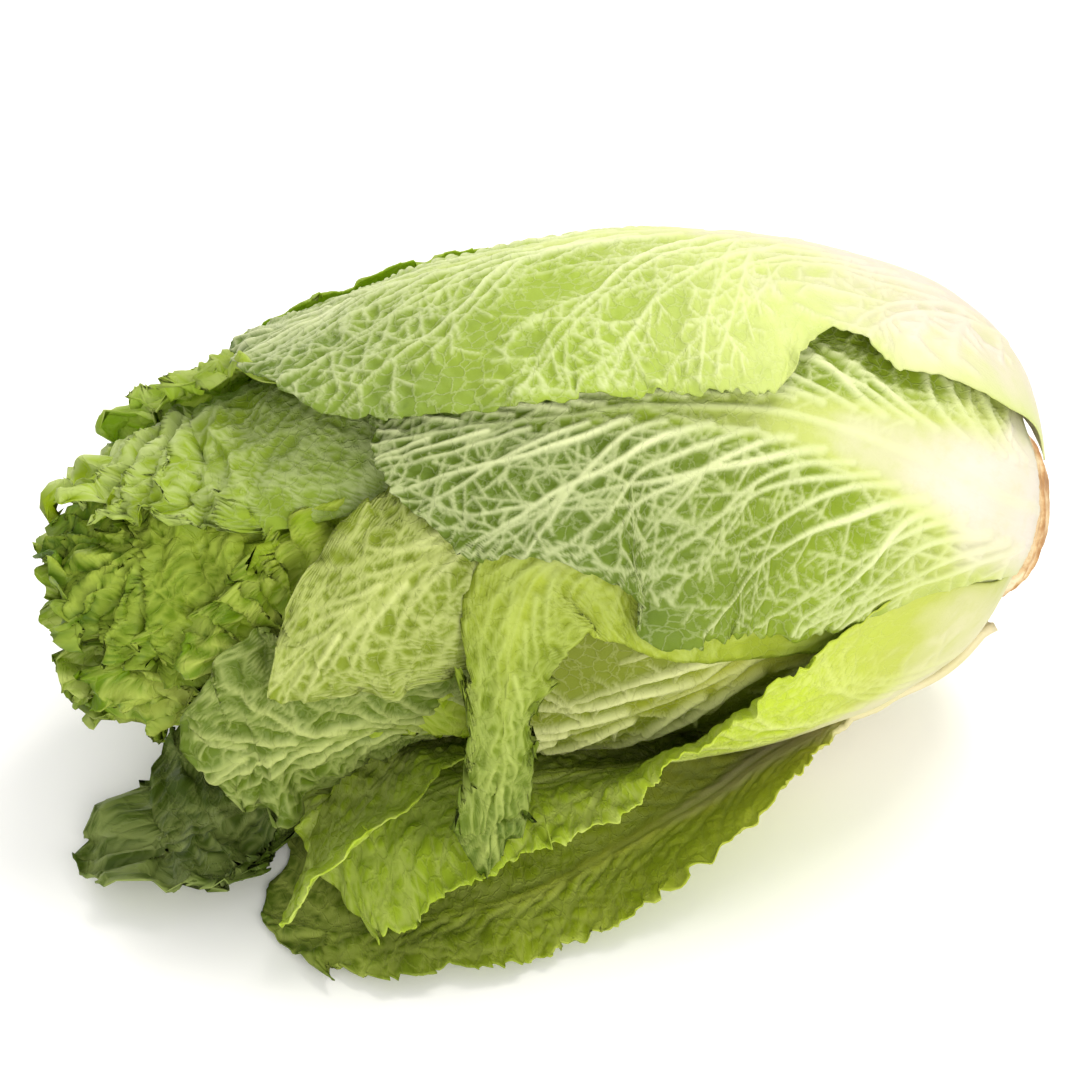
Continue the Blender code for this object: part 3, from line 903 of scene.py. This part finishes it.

# --- The lower leaf at the front -------------------------------------------------------
# A leaf from the head's underside. Its front margin has sprung away from the head and
# turned outwards as a frilled strip, which leaves an opening above it; its skin is
# painted bright, as painted light on a strip that lies in shade.

# Painted light: this skin's greens are painted brighter than the leaf's own, to lift the shade
# that the sprung strip sits in.
frill_skin_painted_light = leaf_skin("frill_leaf_skin_painted_light", "#d9d5b0", "#b9c256", "#bccf38", "#a8c030", "#d9e288")
LOWER_ROWS = (
    (4.9, -35, 20, 28, 0, 0, 0),
    (30, -36, 26, 52, 0, 0, 0),
    (55, -38, 40, 68, 0, 0, 0),
    (83, -42, 52, 67, 0, 0, 2),
    (105, -45, 58, 60, 0, 0, 3),
    (132, -48, 60, 49, 0, 0, 6),
    (152, -51, 60, 36, 1, 0, 13),
    (190, -54, 58, 36, 1, 0, 24),
    (222, -55, 48, 36, 2, 0, 38),
    (245, -55, 36, 32, 6, 0, 50),
    (262, -54, 28, 28, 9, 1, 58),
    (274, -52, 22, 20, 12, 3, 60),
)
lower_leaf = grow_leaf(
    "lower_leaf",
    0.935,
    0.06,
    LOWER_ROWS,
    41,
    spacing=1.05,
    ruffle=(3.2, 2.2, 1.2),
    band=16,
    curl=8,
    pucker=1.2,
    sag=1.2,
    white_to=(15.0, 95.0),
)
fit_leaf(lower_leaf, "lower_leaf_front", frill_skin_painted_light)

# --- The bottom leaf and the leaf under the head ---------------------------------------
# The bottom leaf has opened and lies on the table: its inner face shows, with a sunken
# midrib that is bruised slightly brown. The other leaf lies under the head, and only
# its crumpled tip comes out at the side, dark with painted shade from the head above.

open_skin = leaf_skin("open_leaf_skin", "#e6dcb8", "#c6cb50", "#9aad22", "#5a6e1c", "#bfca66")
BOTTOM_ROWS = (
    (0, -60, 24, 9, -1, 0, -2),
    (30, -62, 34, 9, -4, 0, -5),
    (60, -62, 44, 14, -4, 0, -5),
    (90, -60, 56, 34, 0, 0, 3),
    (110, -58, 64, 40, 8, 0, 14),
    (130, -55, 70, 36, 13, 0, 24),
    (160, -51, 76, 28, 22, 0, 40),
    (190, -46.5, 76, 18, 32, 2, 53),
    (225, -44, 70, 14, 40, 4, 56),
    (250, -42, 64, 12, 45, 8, 62),
    (275, -43, 50, 10, 47, 12, 60),
    (292, -46, 34, 10, 46, 16, 50),
)
bottom_leaf = grow_leaf(
    "open_bottom_leaf",
    1.045,
    0.06,
    BOTTOM_ROWS,
    53,
    spacing=1.1,
    ruffle=(2.4, 1.8, 0.9),
    band=16,
    lobes=3.2,
    teeth=0.4,
    white_to=(40.0, 115.0),
    green=(0.35, 1.0),
)
fit_leaf(bottom_leaf, "bottom_leaf", open_skin)
UNDER_ROWS = (
    (1.9, -85, 24, 22, 0, 0, 0),
    (40, -86, 34, 30, 0, 0, 0),
    (100, -86, 50, 44, 0, 0, 0),
    (150, -84, 66, 40, 0, 0, 0),
    (200, -80, 70, 34, 1, 0, 3),
    (250, -78, 58, 22, 2, 0, 6),
    (268, -74, 50, 18, 6, 0, 12),
    (284, -68, 42, 18, 14, 4, 22),
    (302, -60, 34, 22, 26, 12, 38),
    (324, -52, 28, 22, 34, 20, 48),
    (338, -48, 20, 16, 38, 26, 52),
)
under_leaf = grow_leaf(
    "tucked_leaf",
    0.975,
    0.12,
    UNDER_ROWS,
    59,
    spacing=1.2,
    fine_from=0.6,
    ruffle=(5.5, 4.0, 1.8),
    band=30,
    lobes=9.0,
    teeth=0.4,
    crumple=0.3,
    free_from=0.7,
)
fit_leaf(under_leaf, "under_leaf", low_skin_painted_shade)

# --- The leaves in the opening ---------------------------------------------------------
# Between the front leaf and the sprung margin a smooth inner leaf shows, shaded and
# yellow-green, its ribs fanning from the stem; its skin is painted darker, as painted shade
# of the opening. A torn leaf hangs out at its left end as a folded, tightly puckered strip.

# Painted shade: these greens are darker than the leaf's own, for the shade in the opening.
inner_skin = leaf_skin("inner_leaf_skin_painted_shade", "#d6d6a4", "#b4b848", "#8e9726", "#76821e", "#d4d896")
INNER_ROWS = (
    (11.6, 8, 22, 22, 0, 0, 0),
    (60, 6, 38, 36, 0, 0, 0),
    (95, 0, 52, 40, 0, 0, 0),
    (130, -12, 56, 44, 0, 0, 0),
    (178, -28, 52, 46, 0, 0, 0),
    (192, -31, 40, 36, 0, 0, 0),
    (202, -32, 28, 26, 0, 0, 0),
)
inner_leaf = grow_leaf(
    "opening_leaf",
    0.845,
    0.15,
    INNER_ROWS,
    61,
    spacing=1.0,
    pucker=0.5,
    sag=0.5,
    ridge_height=2.6,
    vein_orders=2,
    vein_half=3.8,
    gaps=(21.0, 27.0),
)
fit_leaf(inner_leaf, "inner_front_leaf", inner_skin)
DROOPING_ROWS = (
    (7.2, 25, 20, 20, 0, 0, 0),
    (40, 26, 30, 28, 0, 0, 0),
    (90, 28, 42, 34, 0, 0, 0),
    (135, 31, 44, 34, 0, 0, 0),
    (160, 31, 34, 26, 0, 1, 0),
    (178, 27, 24, 18, 1.5, 4, 0),
    (188, 17, 18, 16, 7, 8, 5),
    (195, 4, 12, 11, 15, 13, 17),
    (200, -10, 12, 11, 22, 18, 25),
    (206, -22, 15, 13, 31, 28, 34),
    (210, -33, 8, 7, 38, 36, 40),
)
strip_skin = leaf_skin("strip_leaf_skin", "#e4e9b0", "#a9b838", "#7a8e20", "#4e6616", "#bac86c")
drooping_leaf = grow_leaf(
    "folded_strip",
    0.905,
    0.08,
    DROOPING_ROWS,
    67,
    spacing=1.0,
    fine_from=0.45,
    ruffle=(4.0, 3.4, 1.6),
    band=13,
    crumple=0.2,
    free_from=0.66,
    lobes=3.0,
    pucker=2.2,
    sag=2.0,
    green=(0.65, 1.0),
)
fit_leaf(drooping_leaf, "drooping_leaf", strip_skin)

# --- The three loose tips at the front left --------------------------------------------
# Leaves from deeper in the head whose tips have worked out between their neighbours:
# a long one with a V of pale veins, a fan, and one that droops to a point.

tip_skin = leaf_skin("tip_leaf_skin", "#eef0c0", "#bdc852", "#9fad34", "#839426", "#d6dd92")
LONG_ROWS = (
    (9.4, 85, 22, 20, 0, 0, 0),
    (60, 80, 34, 32, 0, 0, 0),
    (130, 62, 48, 44, 0, 0, 0),
    (175, 46, 42, 38, 0, 0, 0),
    (200, 37, 36, 28, 2, 2, 2),
    (225, 29, 32, 22, 8, 9, 5),
    (248, 20, 25, 17, 12, 13, 10),
    (266, 11, 11, 9, 17, 17, 17),
)
long_tip = grow_leaf(
    "long_tip",
    0.875,
    0.15,
    LONG_ROWS,
    71,
    spacing=0.9,
    fine_from=0.5,
    ruffle=(3.6, 2.2, 0.9),
    band=24,
    pucker=1.1,
    sag=1.7,
    ridge_height=1.3,
    vein_half=1.6,
    gaps=(10, 15),
    lobes=4.0,
    teeth=0.3,
    crumple=0.05,
    free_from=0.6,
)
fit_leaf(long_tip, "long_tip_leaf", tip_skin)
FAN_ROWS = (
    (18.4, -70, 19, 22, 0, 0, 0),
    (80, -66, 40, 40, 0, 0, 0),
    (150, -46, 54, 50, 0, 0, 0),
    (200, -32, 50, 46, 0, 0, 0),
    (238, -18, 34, 44, 6, 9, 4),
    (262, -13, 28, 40, 13, 24, 6),
    (282, -11, 26, 34, 19, 32, 9),
    (298, -10, 17, 22, 23, 32, 15),
)
fan_skin = leaf_skin("fan_leaf_skin", "#e4e8ae", "#a9b83c", "#879a24", "#60761c", "#c6d080")
fan_tip = grow_leaf(
    "fan_tip",
    0.755,
    0.10,
    FAN_ROWS,
    73,
    spacing=1.0,
    fine_from=0.5,
    ruffle=(6.5, 3.2, 0.8),
    band=34,
    lobes=8.0,
    teeth=0.3,
    pucker=1.2,
    sag=1.7,
    ridge_height=1.5,
    vein_half=1.9,
    gaps=(13, 18),
    crumple=0.12,
    free_from=0.6,
)
fit_leaf(fan_tip, "fan_tip_leaf", fan_skin)
POINTED_ROWS = (
    (14.6, -110, 22, 22, 0, 0, 0),
    (60, -108, 36, 36, 0, 0, 0),
    (120, -96, 50, 50, 0, 0, 0),
    (180, -76, 46, 46, 0, 0, 0),
    (210, -62, 32, 32, 0, 0, 0),
    (228, -52, 24, 26, 3, 0, 5),
    (245, -42, 20, 23, 19, 8, 26),
    (262, -36, 18, 20, 37, 26, 44),
    (284, -31, 9, 9, 66, 62, 68),
)
pointed_tip = grow_leaf(
    "pointed_tip",
    0.805,
    0.10,
    POINTED_ROWS,
    79,
    spacing=1.0,
    fine_from=0.55,
    teeth=0.2,
    curl=2.0,
    sag=1.6,
    crumple=0.2,
)
# The pointed tip wears the same skin, painted brighter as painted light on a tip in shade.
fit_leaf(pointed_tip, "pointed_tip_leaf", frill_skin_painted_light)

# --- The crown of frilled tips ---------------------------------------------------------
# The leaves that close the far end. Each is wrapped tight for most of its length, and
# its tip opens into deep frills of bright to dark green.

crown_skin = leaf_skin("crown_leaf_skin", "#e9edb4", "#c0cf2a", "#a4bc12", "#6c8c0a", "#cfda6a")
shoulder_skin = leaf_skin(
    "shoulder_leaf_skin", "#e9edb4", "#b4c474", "#859c3e", "#9ab410", "#d3dda2"
)
deep_skin = leaf_skin("deep_crown_skin", "#e4e9aa", "#b8ca28", "#90a812", "#54740a", "#b8ca50")
CURLED_FRONT_ROWS = (
    (20.3, 22, 18, 18, 0, 0, 0),
    (60, 22, 34, 34, 0, 0, 0),
    (120, 20, 50, 50, 0, 0, 0),
    (180, 18, 58, 54, 0, 0, 0),
    (230, 15, 54, 50, 0, 0, 0),
    (262, 13, 46, 44, 1, 1, 1),
    (290, 13, 32, 32, 4, 4, 4),
)
CURLED_LOW_ROWS = (
    (25.5, -18, 18, 18, 0, 0, 0),
    (70, -18, 34, 34, 0, 0, 0),
    (130, -18, 50, 50, 0, 0, 0),
    (190, -16, 56, 56, 0, 0, 0),
    (250, -12, 54, 54, 0, 0, 0),
    (290, -8, 42, 44, 0, 1, 0),
    (324, -4, 28, 26, 2, 3, 0),
)
CROWN_LEAVES = (  # node, layer, angle of the midrib, distance of the tip, skin
    ("upper_leaf_back", 0.93, 152, 302, back_skin),
    ("middle_leaf_back", 0.90, 215, 316, crown_skin),
    ("shoulder_leaf", 0.815, 115, 325, shoulder_skin),
    ("inner_leaf_back", 0.765, 200, 333, deep_skin),
    ("inner_leaf_top", 0.70, 60, 338, deep_skin),
)
crown = [
    (node, layer, plain_rows(layer, angle, length), skin)
    for node, layer, angle, length, skin in CROWN_LEAVES
]
crown.append(("curled_leaf_front", 0.733, CURLED_FRONT_ROWS, crown_skin))
crown.append(("curled_leaf_low", 0.665, CURLED_LOW_ROWS, crown_skin))
for number, (node, layer, rows, skin) in enumerate(crown):
    leaf = grow_leaf(
        "crown_" + node,
        layer,
        PLAIN_ROUNDING,
        rows,
        83 + 4 * number,
        spacing=1.15,
        fine_from=0.56,
        ruffle=(9.0, 6.0, 1.7),
        band=50,
        lobes=10.0,
        teeth=0.4,
        curl=4.0,
        pucker=2.0,
        sag=1.2,
        green=(0.45, 0.98) if layer > 0.8 else (0.3, 1.0),
        free_from=0.72 if layer > 0.8 else 0.62,
        crumple=0.35,
    )
    fit_leaf(leaf, node, skin)

# --- The heart leaves ------------------------------------------------------------------
# The leaves inside, wound one after the other round the stem. Only their frilled tips
# are seen, between the crown's; lower down they are pale and pressed flat.

HEART_LEAVES = 12
HEART_FIRST_LAYER = 0.63
HEART_LAYER_STEP = 0.038
HEART_FIRST_ANGLE = 160.0
HEART_TIPS = (334, 344)  # mm, nearest and furthest tip from the cut stem
heart_skin = leaf_skin("heart_leaf_skin", "#f4f3cf", "#d0d860", "#a9bb2e", "#7c961a", "#cdd87c")
draw = random.Random(7)
for number in range(HEART_LEAVES):
    layer = HEART_FIRST_LAYER - HEART_LAYER_STEP * number
    angle = HEART_FIRST_ANGLE + SPIRAL_ANGLE * number
    leaf = grow_leaf(
        f"heart_{number + 1:02d}",
        layer,
        PLAIN_ROUNDING,
        plain_rows(layer, angle, draw.uniform(*HEART_TIPS)),
        107 + 6 * number,
        spacing=1.3,
        fine_from=0.72,
        ruffle=(7.0, 5.0, 1.6),
        band=40,
        lobes=8.0,
        teeth=0.4,
        curl=3.0,
        pucker=1.6,
        crumple=0.3,
        free_from=0.76,
        vein_orders=2,
        green=(0.45, 0.95),
    )
    fit_leaf(leaf, f"heart_leaf_{number + 1:02d}", heart_skin)

# --- The floor, light and camera -------------------------------------------------------
# A plain white studio floor and three soft lights: one over the head, a large one in
# front, and a weaker one behind that lights the frills of the back leaves.

FLOOR_SIZE = 6  # m
FLOOR_GAP = 0.2  # mm below the lowest leaf

bpy.ops.mesh.primitive_plane_add(size=FLOOR_SIZE)
floor = bpy.context.object
floor.name = "studio_floor"
floor.location.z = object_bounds()[0][2] - FLOOR_GAP * MM
paper, tree = new_material("white_studio_paper")
matte = add_node(
    tree, "ShaderNodeBsdfPrincipled", links={"Base Color": colour("#fbfbfb"), "Roughness": 0.9}
)
add_node(tree, "ShaderNodeOutputMaterial", links={"Surface": matte.outputs[0]})
floor.data.materials.append(paper)

HEAD_MIDDLE = (0.0, 0.0, 95.0)  # mm from the head's own origin
head_middle = Vector((HEAD_ORIGIN + np.array(HEAD_MIDDLE)) * MM)


def add_softbox(name, place, size, watts, tint="#ffffff"):
    lamp = bpy.data.lights.new(name, "AREA")
    lamp.size = size
    lamp.energy = watts
    lamp.color = colour(tint)[:3]
    box = bpy.data.objects.new(name, lamp)
    box.location = head_middle + Vector(place)
    box.rotation_euler = (-Vector(place)).to_track_quat("-Z", "Y").to_euler()
    bpy.context.scene.collection.objects.link(box)


add_softbox("top_softbox", (0.35, 0.25, 1.0), 0.6, 9.5, "#fffaf2")
add_softbox("front_softbox", (0.15, -1.25, 0.45), 1.1, 15.0, "#fffcf4")
add_softbox("back_softbox", (-0.5, 1.0, 0.45), 0.7, 5.0, "#fffcf4")
world = bpy.data.worlds.new("studio")
world.use_nodes = True
world.node_tree.nodes["Background"].inputs["Color"].default_value = colour("#ffffff")
world.node_tree.nodes["Background"].inputs["Strength"].default_value = 0.7
bpy.context.scene.world = world
bpy.context.scene.view_settings.view_transform = "Standard"

CAMERA_AIM = (-6.5, -10.0, 94.2)  # mm from the head's own origin
CAMERA_TURN, CAMERA_RISE = math.radians(-10), math.radians(38)
CAMERA_DISTANCE = 0.785
CAMERA_LENS = 76
aim = Vector((HEAD_ORIGIN + np.array(CAMERA_AIM)) * MM)
back = Vector(
    (
        math.sin(CAMERA_TURN) * math.cos(CAMERA_RISE),
        -math.cos(CAMERA_TURN) * math.cos(CAMERA_RISE),
        math.sin(CAMERA_RISE),
    )
)
lens = bpy.data.cameras.new("camera")
lens.lens = CAMERA_LENS
camera = bpy.data.objects.new("camera", lens)
camera.location = aim + back * CAMERA_DISTANCE
camera.rotation_euler = (-back).to_track_quat("-Z", "Y").to_euler()
bpy.context.scene.collection.objects.link(camera)
bpy.context.scene.camera = camera
